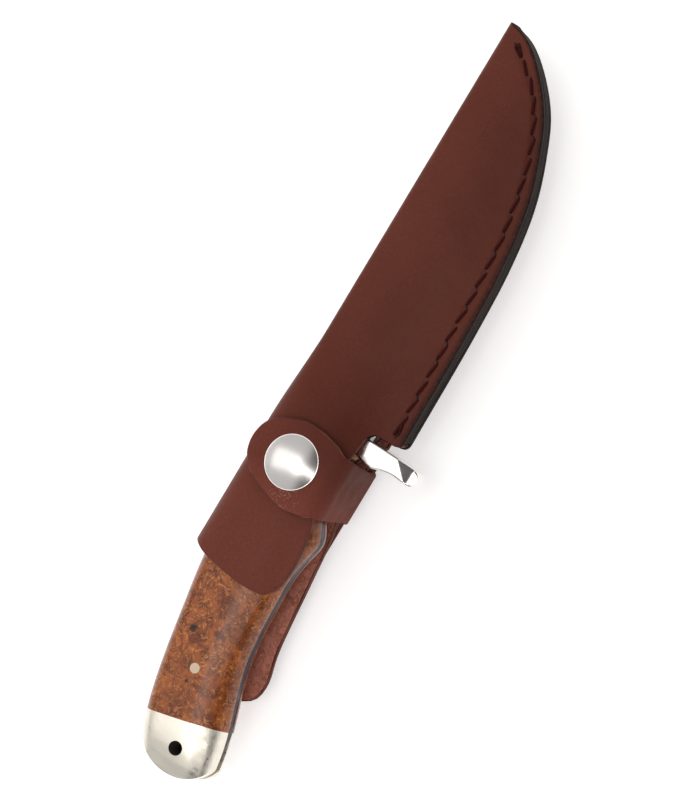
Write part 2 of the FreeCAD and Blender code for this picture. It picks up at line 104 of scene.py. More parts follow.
def resample(points, count):
    """Points evenly spaced by length along a polyline."""
    lengths = running_lengths(points)
    out = []
    for k in range(count):
        goal = lengths[-1] * k / (count - 1)
        i = min(max(bisect_left(lengths, goal), 1), len(points) - 1)
        span = lengths[i] - lengths[i - 1]
        out.append(points[i - 1].lerp(points[i], (goal - lengths[i - 1]) / span if span else 0.0))
    return out


def curve_through(knots, count):
    """Smooth curve through plan points (centripetal Catmull-Rom), evenly resampled."""
    steps = 24
    knots = [Vector(k) for k in knots]
    ends = [2 * knots[0] - knots[1]] + knots + [2 * knots[-1] - knots[-2]]
    dense = []
    for i in range(1, len(ends) - 2):
        p0, p1, p2, p3 = ends[i - 1 : i + 3]
        t1 = math.sqrt((p1 - p0).length)
        t2 = t1 + math.sqrt((p2 - p1).length)
        t3 = t2 + math.sqrt((p3 - p2).length)
        for k in range(steps):
            t = lerp(t1, t2, k / steps)
            near = lerp(p1, p2, (t - t1) / (t2 - t1))
            before = lerp(lerp(p0, p1, t / t1), near, t / t2)
            after = lerp(near, lerp(p2, p3, (t - t2) / (t3 - t2)), (t - t1) / (t3 - t1))
            dense.append(lerp(before, after, (t - t1) / (t2 - t1)))
    dense.append(knots[-1])
    return resample(dense, count)


def face_outwards(mesh):
    shell = bmesh.new()
    shell.from_mesh(mesh)
    bmesh.ops.recalc_face_normals(shell, faces=shell.faces)
    shell.to_mesh(mesh)
    shell.free()


def circle(sides):
    """(cosine, sine) pairs round a circle."""
    return [(math.cos(2 * math.pi * n / sides), math.sin(2 * math.pi * n / sides)) for n in range(sides)]


class Shell:
    """Points (in millimetres), faces and face kinds of a mesh that grows bit by bit."""

    def __init__(self):
        self.points, self.faces, self.kinds = [], [], []

    def add(self, point):
        self.points.append(point)
        return len(self.points) - 1

    def add_all(self, points):
        return [self.add(point) for point in points]

    def level_ring(self, centre, radius, height, sides):
        """Circle of points at one height; returns their numbers."""
        x, y = centre
        return self.add_all(Vector((x + radius * c, y + radius * s, height)) for c, s in circle(sides))

    def face(self, corners, kind=0):
        self.faces.append(tuple(corners))
        self.kinds.append(kind)

    def quad(self, a, b, c, d, kind, flip):
        self.face((d, c, b, a) if flip else (a, b, c, d), kind)

    def fan(self, centre, ring):
        for a, b in zip(ring, ring[1:] + ring[:1]):
            self.face((centre, a, b))

    def join(self, rings):
        """Faces between closed rings of point numbers, from each ring to the next."""
        for first, second in zip(rings, rings[1:]):
            for n in range(len(first)):
                self.face((first[n - 1], first[n], second[n], second[n - 1]))

    def sheet(self, grid, kind, flip=False):
        """Faces between rows of point numbers, as far as both rows reach."""
        for upper, lower in zip(grid, grid[1:]):
            for j in range(min(len(upper), len(lower)) - 1):
                self.quad(upper[j], lower[j], lower[j + 1], upper[j + 1], kind, flip)

    def rim(self, strip, kind_of, flip=False):
        """Faces between lines that run over a cut edge; kind_of(band, y) gives their kind."""
        for first, second in zip(strip, strip[1:]):
            y = (self.points[first[0]].y + self.points[second[0]].y) / 2
            for n in range(len(first) - 1):
                self.quad(first[n], second[n], second[n + 1], first[n + 1], kind_of(n, y), flip)

    def make(self, name, looks, body, slot, replaced=()):
        """The piece, with looks[kind] on each face; it keeps its rest place for the textures.

        Without a body the piece is attached to nothing.
        """
        mesh = bpy.data.meshes.new(name)
        mesh.from_pydata([at(*p) for p in self.points], [], self.faces)
        mesh.validate()
        face_outwards(mesh)
        for look in looks:
            mesh.materials.append(look)
        for polygon, kind in zip(mesh.polygons, self.kinds):
            polygon.use_smooth = True
            polygon.material_index = kind
        piece = bpy.data.objects.new(name, mesh)
        bpy.context.scene.collection.objects.link(piece)
        rest = mesh.attributes.new("rest_place", "FLOAT_VECTOR", "POINT")
        for vertex, item in zip(mesh.vertices, rest.data):
            item.vector = vertex.co
        if body:
            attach(piece, body)
        if replaced:
            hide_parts(*replaced)
        return piece


# ---------------------------------------------------------------- materials
# Texture scales are cycles per metre and bump distances metres.
class Nodes:
    """Short ways to make and join the nodes of one tree."""

    def __init__(self, tree):
        self.tree = tree

    def plug(self, socket, value):
        """Gives an input its link, number, vector or colour."""
        if isinstance(value, bpy.types.NodeSocket):
            self.tree.links.new(value, socket)
        elif socket.type == "RGBA":
            socket.default_value = (*value, 1)
        else:
            socket.default_value = value

    def fill(self, node, **sockets):
        """Plugs inputs by name, with _ for a space."""
        for name, value in sockets.items():
            self.plug(node.inputs[name.replace("_", " ")], value)

    def node(self, kind, **sockets):
        node = self.tree.nodes.new(f"ShaderNode{kind}")
        self.fill(node, **sockets)
        return node

    def maths(self, operation, a, b, kind="Math"):
        node = self.node(kind)
        node.operation = operation
        self.plug(node.inputs[0], a)
        self.plug(node.inputs[1], b)
        return node.outputs["Value"]

    def remap(self, value, low, high, out_low=0.0, out_high=1.0):
        node = self.node("MapRange", Value=value, From_Min=low, From_Max=high)
        self.fill(node, To_Min=out_low, To_Max=out_high)
        node.interpolation_type = "SMOOTHSTEP"
        return node.outputs["Result"]


class Look(Nodes):
    """A node material built up step by step around one Principled shader."""

    def __init__(self, name, colour, roughness, metallic=0.0, use_rest=True):
        self.material = bpy.data.materials.new(name)
        self.material.use_nodes = True
        super().__init__(self.material.node_tree)
        self.shader = self.tree.nodes["Principled BSDF"]
        self.shade(Base_Color=colour, Roughness=roughness, Metallic=metallic)
        if use_rest:
            self.place = self.attribute("rest_place").outputs["Vector"]
        else:
            self.place = self.node("TexCoord").outputs["Object"]
        self.normal = None

    def shade(self, **sockets):
        self.fill(self.shader, **sockets)

    def attribute(self, name):
        node = self.node("Attribute")
        node.attribute_name = name
        return node

    def stretched(self, scale):
        return self.node("Mapping", Vector=self.place, Scale=scale).outputs["Vector"]

    def noise(self, scale, detail=4.0, rough=0.55, warp=0.0, place=None):
        node = self.node("TexNoise", Vector=place or self.place, Scale=scale, Detail=detail)
        self.fill(node, Roughness=rough, Distortion=warp)
        return node.outputs["Fac"]

    def cells(self, scale, place=None):
        return self.node("TexVoronoi", Vector=place or self.place, Scale=scale).outputs["Distance"]

    def ragged_distance(self, place, scale, amount):
        """Metres from a place, with noise added."""
        distance = self.maths("DISTANCE", self.place, place, "VectorMath")
        return self.maths("ADD", distance, self.maths("MULTIPLY", self.noise(scale, 3), amount))

    def mix(self, share, first, second):
        """Blend two colours; each is a colour or a socket, share a number or a socket."""
        node = self.node("Mix")
        node.data_type = "RGBA"
        for number, value in ((0, share), (6, first), (7, second)):
            self.plug(node.inputs[number], value)
        return node.outputs[2]

    def bump(self, value, distance, strength):
        node = self.node("Bump", Height=value, Distance=distance, Strength=strength)
        if self.normal is not None:
            self.fill(node, Normal=self.normal)
        self.normal = node.outputs["Normal"]
        self.shade(Normal=self.normal)

    def component(self, axis):
        return self.node("SeparateXYZ", Vector=self.place).outputs[axis]


def smooth_leather(name, light, dark, roughness, fade=0.0, pressed=None):
    """Finished grain side: fine pores, faint creases, cloudy dye and worn sheen.

    With fade the colour lightens towards the fold and the tongue: painted light where the lamps
    fall more.  With pressed, a place, the grain around it is crushed into pebbles with painted glints.
    """
    look = Look(name, light, roughness)
    look.shade(IOR=1.13, Specular_IOR_Level=0.5)
    cloud = look.noise(38, 4, 0.6, 0.5)
    dye = look.mix(look.remap(cloud, 0.32, 0.72), dark, light)
    if fade:
        # Painted light: lighter towards the fold and down the tongue, where the lamps light the leather more.
        across = look.component("X")
        painted_light = look.remap(across, ORIGIN.x + 2 * MM, ORIGIN.x + 21 * MM, fade, 0.0)
        painted_tongue_light = look.remap(look.component("Y"), ORIGIN.y - 32 * MM, ORIGIN.y - 8 * MM, 2.2 * fade, 0.0)
        painted_light = look.maths("MAXIMUM", painted_light, painted_tongue_light)
        dye = look.mix(painted_light, dye, tuple(1.55 * c for c in light))
    pores = look.remap(look.cells(2300), 0.0, 0.32)
    grain = look.noise(1500, 5, 0.6)
    tone = look.mix(look.remap(grain, 0.35, 0.7, 0.0, 0.24), dye, tuple(0.62 * c for c in dark))
    paint = look.attribute("edge_paint").outputs["Fac"]
    ragged = look.maths("MULTIPLY", paint, look.remap(look.noise(700, 4), 0.3, 0.6, 0.55, 1.0))
    tone = look.mix(ragged, tone, (0.016, 0.009, 0.007))
    if pressed is not None:
        patch = look.remap(look.ragged_distance(pressed, 500, 0.003), 0.0035, 0.0068, 1.0, 0.0)
        pebbles = look.remap(look.cells(1500), 0.15, 0.5, 1.0, 0.0)
        pebbles_and_painted_glints = look.maths("MULTIPLY", patch, pebbles)
        # Painted highlights: the pebbles' tops are painted whitish glints; the bump gives their real shape.
        tone = look.mix(look.maths("MULTIPLY", pebbles_and_painted_glints, 0.6), tone, tuple(2.0 * c + 0.1 for c in light))
        look.bump(pebbles_and_painted_glints, 0.00012, 0.8)
    look.shade(Base_Color=tone)
    creases = look.remap(look.noise(160, 6, 0.68, 1.2, look.stretched((1.0, 0.35, 1.0))), 0.47, 0.53)
    look.shade(Roughness=look.remap(look.noise(220, 5, 0.6), 0.3, 0.75, roughness - 0.07, roughness + 0.1))
    look.bump(creases, 0.00003, 0.5)
    look.bump(pores, 0.00003, 0.5)
    look.bump(grain, 0.00005, 0.6)
    return look.material


def suede(name, light, dark):
    """Flesh side: matted short fibres with a soft sheen."""
    look = Look(name, light, 0.9)
    look.shade(Sheen_Weight=0.35, Sheen_Roughness=0.5, Sheen_Tint=(0.9, 0.6, 0.55), Specular_IOR_Level=0.15)
    clumps = look.noise(420, 6, 0.75, 1.5)
    fibres = look.noise(2600, 4, 0.7, 2.0)
    look.shade(Base_Color=look.mix(look.remap(clumps, 0.33, 0.68), dark, light))
    look.bump(clumps, 0.00022, 0.8)
    look.bump(fibres, 0.00009, 0.8)
    return look.material


def painted_edge(name, light, dark, use_rest=True):
    """Cut leather edge, dyed and burnished, with the layers' faint lines."""
    look = Look(name, light, 0.6, use_rest=use_rest)
    look.shade(IOR=1.12, Specular_IOR_Level=0.5)
    layers = look.noise(900, 4, 0.6, 0.3, look.stretched((0.12, 0.12, 1.6)))
    look.shade(Base_Color=look.mix(look.remap(layers, 0.35, 0.7), dark, light))
    look.bump(layers, 0.00009, 0.7)
    look.bump(look.noise(1900, 3, 0.6), 0.00003, 0.5)
    return look.material


def thread(name, light, dark):
    look = Look(name, light, 0.75)
    look.shade(IOR=1.25, Specular_IOR_Level=0.5)
    fuzz = look.noise(5200, 4, 0.7)
    look.shade(Base_Color=look.mix(look.remap(fuzz, 0.35, 0.7), dark, light))
    look.bump(fuzz, 0.00005, 0.8)
    return look.material


# Painted shade: a near-black colour that stands for the shade inside holes.
def painted_hole_shade(name, colour):
    look = Look(name, colour, 0.9)
    look.shade(Base_Color=look.mix(look.noise(3000, 3), colour, tuple(2.5 * c for c in colour)))
    return look.material


def burl_wood(name, knots):
    """Lacquered burl: swirled figure, pale curls, dark eyes, the knots and fine pores."""
    look = Look(name, (0.4, 0.17, 0.06), 0.3, use_rest=False)
    look.shade(Coat_Weight=0.48, Coat_Roughness=0.2, Coat_IOR=1.5, Specular_IOR_Level=0.05)
    swirl = look.noise(120, 9, 0.66, 2.4)
    curls = look.noise(350, 7, 0.72, 3.6)
    base = look.mix(look.remap(swirl, 0.36, 0.62), (0.16, 0.038, 0.013), (0.38, 0.103, 0.026))
    figured = look.mix(look.remap(curls, 0.49, 0.66, 0.0, 0.8), base, (0.7, 0.29, 0.085))
    veins = look.remap(look.noise(210, 6, 0.6, 4.5), 0.54, 0.62, 0.0, 0.45)
    veined = look.mix(veins, figured, (0.06, 0.014, 0.006))
    red = look.mix(look.remap(look.noise(70, 3, 0.5), 0.45, 0.7, 0.0, 0.5), veined, (0.16, 0.036, 0.012))
    eyes = look.remap(look.cells(125, look.stretched((1.0, 0.75, 1.0))), 0.02, 0.12, 1.0, 0.0)
    dark = look.maths("MULTIPLY", eyes, look.remap(look.noise(90, 2), 0.53, 0.6))
    for knot in knots:
        spot = look.remap(look.ragged_distance(knot, 900, 0.0011), 0.0011, 0.0021, 1.0, 0.0)
        dark = look.maths("MAXIMUM", dark, spot)
    look.shade(Base_Color=look.mix(dark, red, (0.03, 0.012, 0.008)))
    look.shade(Roughness=look.remap(curls, 0.3, 0.7, 0.24, 0.42))
    look.bump(curls, 0.00001, 0.3)
    look.bump(look.noise(2400, 3), 0.00001, 0.4)
    return look.material


def metal(name, colour, shadow, roughness, stretch, use_rest=False, scratch=0.0000018, wear=0.3, beyond=None):
    """Polished or satin metal with directional scratches and faint tarnish.

    scratch is their depth in metres, wear the share by which the roughness varies.  With
    beyond, a colour, the part past the guard towards the tip has that colour.
    """
    look = Look(name, colour, roughness, metallic=1.0, use_rest=use_rest)
    lines = look.noise(900, 5, 0.7, 0.0, look.stretched(stretch))
    haze = look.noise(120, 4, 0.6, 0.6)
    tone = look.mix(look.remap(haze, 0.35, 0.75, 0.0, 0.3), colour, shadow)
    if beyond:
        blade = look.remap(look.component("Y"), ORIGIN.y - 2 * MM, ORIGIN.y - 1 * MM)
        ground = look.mix(look.remap(lines, 0.3, 0.7, 0.0, 0.5), beyond, tuple(0.8 * c for c in beyond))
        tone = look.mix(blade, tone, ground)
    look.shade(Base_Color=tone)
    look.shade(Roughness=look.remap(lines, 0.3, 0.7, roughness * (1 - wear), roughness * (1 + wear)))
    look.bump(lines, scratch, 0.2)
    return look.material


LOOKS = {
    "leather": smooth_leather("sheath_leather_look", (0.124, 0.0335, 0.0225), (0.101, 0.027, 0.018), 0.4,
                              fade=0.35),
    "strap": smooth_leather("strap_leather_look", (0.135, 0.036, 0.0245), (0.108, 0.0285, 0.0195), 0.55,
                            fade=0.5, pressed=at(18.2, -24.0, 15.2)),
    "loop": smooth_leather("loop_leather_look", (0.1, 0.024, 0.016), (0.075, 0.018, 0.012), 0.44),
    "suede": suede("flesh_side_look", (0.62, 0.25, 0.18), (0.32, 0.115, 0.08)),
    "edge": painted_edge("painted_edge_look", (0.03, 0.018, 0.014), (0.008, 0.005, 0.004)),
    "welt": painted_edge("welt_edge_look", (0.032, 0.02, 0.015), (0.009, 0.006, 0.005), False),
    "cut_edge": painted_edge("cut_edge_look", (0.24, 0.085, 0.06), (0.075, 0.022, 0.016)),
    "thread": thread("waxed_thread_look", (0.075, 0.006, 0.006), (0.025, 0.003, 0.003)),
    # Painted shade for the insides of holes.
    "hole": painted_hole_shade("awl_hole_painted_shade_look", (0.006, 0.003, 0.003)),
    "wood": burl_wood("burl_wood_look", (at(13.6, -67, 9.5), at(12.2, -88.5, 8.6), at(15, -60, -9.5))),
    "steel": metal("blade_steel_look", (0.034, 0.026, 0.042), (0.022, 0.017, 0.028), 0.42, (1.0, 0.05, 1.0),
                   beyond=(0.58, 0.58, 0.6)),
    "nickel": metal("nickel_silver_look", (0.84, 0.79, 0.69), (0.74, 0.69, 0.59), 0.36, (0.06, 1.0, 1.0),
                    scratch=0.0000005),
    "guard": metal("guard_look", (0.88, 0.85, 0.82), (0.78, 0.74, 0.7), 0.16, (0.1, 1.0, 1.0), True),
    "snap": metal("snap_look", (0.86, 0.82, 0.79), (0.82, 0.78, 0.75), 0.3, (0.25, 1.0, 1.0), True,
                  scratch=0.00000002, wear=0.05),
    "snap_plain": metal("snap_inner_look", (0.84, 0.79, 0.74), (0.7, 0.65, 0.6), 0.2, (0.25, 1.0, 1.0)),
    "pin": metal("pin_look", (0.47, 0.37, 0.27), (0.36, 0.28, 0.19), 0.32, (1.0, 0.2, 1.0)),
}


# ---------------------------------------------------------------- sheath leather
# The leather is laid out flat as (girth, y), girth being the way along it from the fold line.
EDGE_KNOTS = [(0.4, 115), (6.2, 113.4), (12.6, 109), (21.5, 99), (27.4, 87), (31.4, 75), (34, 59), (35.2, 39),
              (35.8, 5)]
STITCH_KNOTS = [(8.6, 108), (17, 101), (24.2, 88), (29.6, 65.5), (31.6, 35), (32.8, 6)]
HEEL = [(35.8, 4.2), (35.6, 3.4), (35.2, 2.8), (34.6, 2.4), (33.9, 2.2)]
MOUTH_X, MOUTH_Y = 28.6, 2.2
NOTCH_END_Y = -3
NOTCH = [(MOUTH_X, MOUTH_Y), (27.8, 1.7), (27.1, 0.7), (26.75, -0.8), (26.7, NOTCH_END_Y)]
FRONT_CORNER, BACK_CORNER = (25.4, -49.6), (28.6, -80.2)
FRONT_SIDE = [NOTCH[-1], (26.7, -13), (26.7, -22), (26.8, -25.2), (27.7, -28.2), (28.7, -35), (28.8, -42),
              (27.9, -46.8), FRONT_CORNER]
BACK_SIDE = [NOTCH[-1], (26.7, -13), (26.9, -23.6), (27.9, -28.9), (29.3, -42), (31.5, -62.7), (33.6, -72.4),
             (32.6, -77.2), BACK_CORNER]
FOLD_END = -46.6
FRONT_END = [FRONT_CORNER, (22.4, -50.1), (14, -49.7), (5, -48.2), (0, FOLD_END)]
BACK_END = [BACK_CORNER, (24, -81), (17.5, -80.6), (11.2, -77.2), (7, -71), (4.2, -62), (1.8, -53),
            (0, FOLD_END)]

FOLD_AT_BLADE, FOLD_AT_GRIP = 3.4, 9.0  # radii of the fold
FRONT_EDGE_HALF = 8.8  # height of the tongue's free edge
EDGE_ROWS, NOTCH_ROWS, SIDE_ROWS = 84, 8, 44
END_POINTS = 160
COARSE, FINE = 40, 20  # steps across the leather, and in the band beside the sewn edge
FINE_WIDTH = 7.2
STITCHES = 20
SEWN_X, SEWN_LOW, SEWN_HIGH = 6, 3, 111  # the sewing pulls the leather in beyond these
LINE_DIP, LINE_WIDTH = 0.38, 0.75
HOLE_DIP, HOLE_WIDTH = 0.22, 0.9
SWELL, SWELL_X, SWELL_WIDTH = 0.9, 3, 22  # the pocket's skin bulges over the blade
DYE_SPREAD, DYE_SHARE = 2.3, 0.85
ROUND = 0.36  # how far the rounded cut edge reaches past the faces
RIM_PROFILE = [  # (reach, height off the grain side) from the grain side round to the flesh side
    (0.14, -0.03), (0.25, -0.1), (0.33, -0.22), (ROUND, -0.36), (ROUND, -2.0), (0.3, -2.14), (0.16, -LEATHER),
]


def shoulder(y):
    """0 over the blade, rising to 1 over the grip."""
    return ramp(y, 20, -9)


def crown_half(y):
    return lerp(POCKET_OUT, SPACE_OUT, shoulder(y))


def fold_radius(y):
    return lerp(FOLD_AT_BLADE, FOLD_AT_GRIP, shoulder(y))


def edge_half(y, side):
    return lerp(POCKET_OUT, FRONT_EDGE_HALF if side > 0 else SPACE_OUT, ramp(y, 4, -10))


def girth_offset(y):
    """How much further a point is along the leather from the fold line than in plan."""
    radius = fold_radius(y)
    return crown_half(y) - radius + (math.pi / 2 - 1) * radius


def girth_of(x, y):
    radius = fold_radius(y)
    if x >= radius:
        return x + girth_offset(y)
    if x <= 0.01:
        return 0.0
    return crown_half(y) - radius + radius * math.acos(1 - x / radius)


def skin(girth, y, side, out=0.0):
    """Point of the leather's outer face at a girth from the fold line; side is 1 or -1."""
    radius, crown = fold_radius(y), crown_half(y)
    start = crown - radius
    if girth < start:
        return Vector((-out, y, side * girth))
    angle = (girth - start) / radius
    if angle < math.pi / 2:
        reach = radius + out
        return Vector((radius - reach * math.cos(angle), y, side * (start + reach * math.sin(angle))))
    x = girth - girth_offset(y)
    return Vector((x, y, side * (flat_height(x, y, side) + out)))


def flat_height(x, y, side):
    """Height of the skin over the mid plane beyond the fold's arc, in plan."""
    height = lerp(crown_half(y), edge_half(y, side), ramp(x, 17, 32))
    across = min(max((x - SWELL_X) / SWELL_WIDTH, 0), 1)
    return height + SWELL * math.sin(math.pi * across) * ramp(y, 8, 33) * ramp(y, 112, 92)


STITCH_HOLES = curve_through(STITCH_KNOTS, STITCHES + 1)
STITCH_DENSE = curve_through(STITCH_KNOTS, 10 * STITCHES + 11)


def stitch_dip(girth, y):
    """How far the sewing pulls the leather in, deepest where the thread enters."""
    point = Vector((girth - girth_offset(y), y))
    if y < SEWN_LOW or y > SEWN_HIGH or point.x < SEWN_X:
        return 0.0
    line = min((point - other).length_squared for other in STITCH_DENSE)
    hole = min((point - other).length_squared for other in STITCH_HOLES)
    return LINE_DIP * math.exp(-line / LINE_WIDTH**2) + HOLE_DIP * math.exp(-hole / HOLE_WIDTH**2)


def pocket_row(rim, inner):
    """Plan-to-girth row at one height: even steps to inner, then fine steps to the rim."""
    width = girth_of(rim.x, rim.y)
    inner = min(inner, width)
    row = [Vector((inner * k / COARSE, rim.y)) for k in range(COARSE)]
    return row + [Vector((lerp(inner, width, k / FINE), rim.y)) for k in range(FINE + 1)]


def tongue_rows(side):
    """Rows below the mouth, which fan out and end along the flap's own curved rim."""
    notch = curve_through(NOTCH, NOTCH_ROWS)[1:]
    tail = curve_through(FRONT_SIDE if side > 0 else BACK_SIDE, SIDE_ROWS)[1:]
    left = [lerp(MOUTH_Y, NOTCH_END_Y, k / len(notch)) for k in range(1, len(notch) + 1)]
    left += [lerp(NOTCH_END_Y, FOLD_END, k / len(tail)) for k in range(1, len(tail) + 1)]
    end_plan = curve_through(FRONT_END if side > 0 else BACK_END, END_POINTS)
    end_row = resample([Vector((girth_of(p.x, p.y), p.y)) for p in reversed(end_plan)], COARSE + 1)
    corner = Vector((girth_of(tail[-1].x, tail[-1].y), tail[-1].y))
    rows = []
    for i, (y_left, rim) in enumerate(zip(left, notch + tail)):
        bend = max(0.0, (i + 1 - len(notch)) / len(tail)) ** 3
        start, end = Vector((0, y_left)), Vector((girth_of(rim.x, rim.y), rim.y))
        row = []
        for k in range(COARSE + 1):
            straight_end = Vector((0, FOLD_END)).lerp(corner, k / COARSE)
            row.append(start.lerp(end, k / COARSE) + (end_row[k] - straight_end) * bend)
        rows.append(row)
    return rows


def leather_rows(side):
    """Every row of (girth, y) places of the front or back half, tip first."""
    rows = []
    for rim in curve_through(EDGE_KNOTS, EDGE_ROWS):
        width = girth_of(rim.x, rim.y)
        rows.append(pocket_row(rim, width - min(FINE_WIDTH, width / 2)))
    for x, y in HEEL:
        rows.append(pocket_row(Vector((x, y)), girth_of(MOUTH_X, y)))
    return rows + tongue_rows(side)


def rim_loop(rows):
    """(row, column) pairs along the open border, from the fold at the tip round to its other end."""
    pocket = [i for i, row in enumerate(rows) if len(row) > COARSE + 1]
    loop = [(0, j) for j in range(COARSE + FINE)]
    loop += [(i, COARSE + FINE) for i in pocket]
    loop += [(pocket[-1], j) for j in range(COARSE + FINE - 1, COARSE, -1)]
    loop += [(i, COARSE) for i in range(pocket[-1], len(rows))]
    return loop + [(len(rows) - 1, j) for j in range(COARSE - 1, -1, -1)]


def outward(loop, rows, k):
    """Direction in (girth, y) that leaves the leather at the k-th border point."""
    if k == 0:
        return Vector((0, 1))
    if k == len(loop) - 1:
        return Vector((0, -1))
    before, after = (rows[i][j] for i, j in (loop[k - 1], loop[k + 1]))
    along = (after - before).normalized()
    return Vector((-along.y, along.x))


def paint_share(inset, y):
    """How much of the edge's dye has spread on to the face, by distance from the edge."""
    return DYE_SHARE * ramp(inset, DYE_SPREAD, 0) * ramp(y, 1.5, 5.5)


def settled(rows, away, inset):
    """Places of the faces' points, crowded inwards at the border to leave room for the rim."""
    border = [(rows[i][j], out) for (i, j), out in away.items()]
    moved = []
    for row in rows:
        line = []
        for place in row:
            edge, out = min(border, key=lambda item: (item[0] - place).length_squared)
            line.append(place - out * max(0.0, inset - (edge - place).dot(out) / 2))
        moved.append(line)
    return moved


def sheath_rim_kind(band, y):
    """Grain side over the rounded corner, then dyed edge at the pocket or bare cut below it."""
    below_mouth = y < MOUTH_Y - 2
    if band < (3 if below_mouth else 2):
        return 0
    return 3 if below_mouth else 2


def build_sheath():
    """Leather folded at x = 0: the front half with its tongue, then the back half with its tab."""
    shell, painted, shared = Shell(), [], {}

    def add_skin(girth, y, side, out, inset):
        painted.append(paint_share(inset, y))
        return shell.add(skin(girth, y, side, out))

    for side in (1, -1):
        rows = leather_rows(side)
        loop = rim_loop(rows)
        away = {pair: outward(loop, rows, k) for k, pair in enumerate(loop)}
        places = settled(rows, away, ROUND)
        for i in range(1, len(rows) - 1):
            places[i][0] = rows[i][0]
        layers = []
        for depth in (0.0, -LEATHER):
            grid = []
            for i, row in enumerate(places):
                line = [shared[depth, i]] if (depth, i) in shared else []
                for place in row[len(line):]:
                    out = depth if depth else -stitch_dip(*place)
                    line.append(add_skin(*place, side, out, rows[i][-1].x - place.x))
                shared[depth, i] = line[0]
                grid.append(line)
            layers.append(grid)
            shell.sheet(grid, 1 if depth else 0, flip=(side > 0) == (depth < 0))
        strip = []
        for i, j in loop:
            line = shared.get(("rim", i)) if j == 0 else None
            if not line:
                line = []
                for reach, drop in RIM_PROFILE:
                    place = places[i][j] + away[i, j] * reach
                    line.append(add_skin(max(place.x, 0.0), place.y, side, drop, 0.0))
                if j == 0:
                    shared["rim", i] = line
            strip.append([layers[0][i][j], *line, layers[1][i][j]])
        shell.rim(strip, sheath_rim_kind, flip=side < 0)
    looks = [LOOKS["leather"], LOOKS["suede"], LOOKS["edge"], LOOKS["cut_edge"]]
    piece = shell.make("sheath_leather_skin", looks, "sheath", "sheath_leather", ("sheath_leather",))
    paint = piece.data.attributes.new("edge_paint", "FLOAT", "POINT")
    paint.data.foreach_set("value", painted)


build_sheath()


# ---------------------------------------------------------------- strips of leather
STRIP = 2.0
WORN_REACH = 0.6
WORN_PROFILE = [  # like RIM_PROFILE, for an edge that is worn rounder
    (0.22, -0.12), (0.4, -0.28), (0.54, -0.5), (WORN_REACH, -0.76), (WORN_REACH, -1.6), (0.5, -1.86),
    (0.26, -STRIP),
]


def strip_border(rows, seam):
    """(row, column) pairs round a grid; with seam the first row is left out."""
    last_row, last = len(rows) - 1, len(rows[0]) - 1
    loop = [(i, last) for i in range(last_row)] + [(last_row, j) for j in range(last, 0, -1)]
    if seam:
        return loop + [(i, 0) for i in range(last_row, -1, -1)]
    return loop + [(i, 0) for i in range(last_row, 0, -1)] + [(0, j) for j in range(last)]


def border_normals(rows, seam):
    """Direction that leaves the strip at each border pair; at a seam's ends it is square."""
    loop = strip_border(rows, seam)
    away = {}
    for k, pair in enumerate(loop):
        before = loop[max(k - 1, 0)] if seam else loop[k - 1]
        after = loop[min(k + 1, len(loop) - 1)] if seam else loop[(k + 1) % len(loop)]
        along = (rows[after[0]][after[1]] - rows[before[0]][before[1]]).normalized()
        away[pair] = Vector((along.y, -along.x))
    half = len(rows) // 2
    inwards = rows[half][len(rows[0]) // 2] - rows[half][-1]
    if inwards.dot(away[half, len(rows[0]) - 1]) > 0:
        away = {pair: -vector for pair, vector in away.items()}
    if seam:
        for corner in (loop[0], loop[-1]):
            away[corner] = Vector((0, math.copysign(1, away[corner].y)))
    return away


def leather_strip(name, rows, surface, body, slot, replaced, look):
    """Closed shell over a grid of flat (u, v) places, with rounded cut edges; look is the grain's.

    surface(u, v, out) gives the point out millimetres off the grain side.  Without a body
    the strip is one half of the strap: its first row is a square cut that meets the other.
    """
    seam = body is None
    away = border_normals(rows, seam)
    places = settled(rows, away, WORN_REACH)
    shell, layers = Shell(), []
    for kind, depth in enumerate((0.0, -STRIP)):
        layers.append([[shell.add(surface(place.x, place.y, depth)) for place in row] for row in places])
        shell.sheet(layers[-1], kind)
    strip = []
    for (i, j), out in away.items():
        line = []
        for reach, drop in WORN_PROFILE:
            place = places[i][j] + out * reach
            line.append(shell.add(surface(place.x, place.y, drop)))
        strip.append([layers[0][i][j], *line, layers[1][i][j]])
    shell.rim(strip if seam else strip + strip[:1], lambda band, _: 0 if band < 1 else 2)
    if seam:
        around = strip[0] + layers[1][0][::-1][1:-1] + strip[-1][::-1] + layers[0][0][1:-1]
        shell.face([shell.add(shell.points[n].copy()) for n in around], 1)
    piece = shell.make(name, [look, LOOKS["suede"], LOOKS["cut_edge"]], body, slot, replaced)
    row, column = len(rows) // 2, len(rows[0]) // 2
    middle = rows[row][column]
    lift = surface(middle.x, middle.y, 1.0) - surface(middle.x, middle.y, 0.0)
    if piece.data.polygons[row * (len(rows[0]) - 1) + column].normal.dot(lift) < 0:
        piece.data.flip_normals()
    return piece


def fan_rows(low_side, high_side, end_knots, row_count, column_count):
    """Rows between two long sides whose last row follows a curved end."""
    low, high = curve_through(low_side, row_count), curve_through(high_side, row_count)
    end = curve_through(end_knots, column_count)
    rows = []
    for i, (a, b) in enumerate(zip(low, high)):
        bend = (i / (row_count - 1)) ** 3
        row = []
        for k in range(column_count):
            share = k / (column_count - 1)
            row.append(a.lerp(b, share) + (end[k] - low[-1].lerp(high[-1], share)) * bend)
        rows.append(row)
    return rows


# The strap: its middle line goes up the side wall and turns over the top and under the back.
STRAP_X, STRAP_Y, STRAP_TOP, STRAP_LOW = 28.4, -15.8, 14.2, -13.0
TOP_BEND, LOW_BEND = 4.4, 2.2
DROOP, DROOP_X, DROOP_RUN = 2.0, 8.2, 7.0  # the flap's end hangs down a little
FLAP_ROWS, ROOT_ROWS, STRAP_COLUMNS = 72, 50, 34


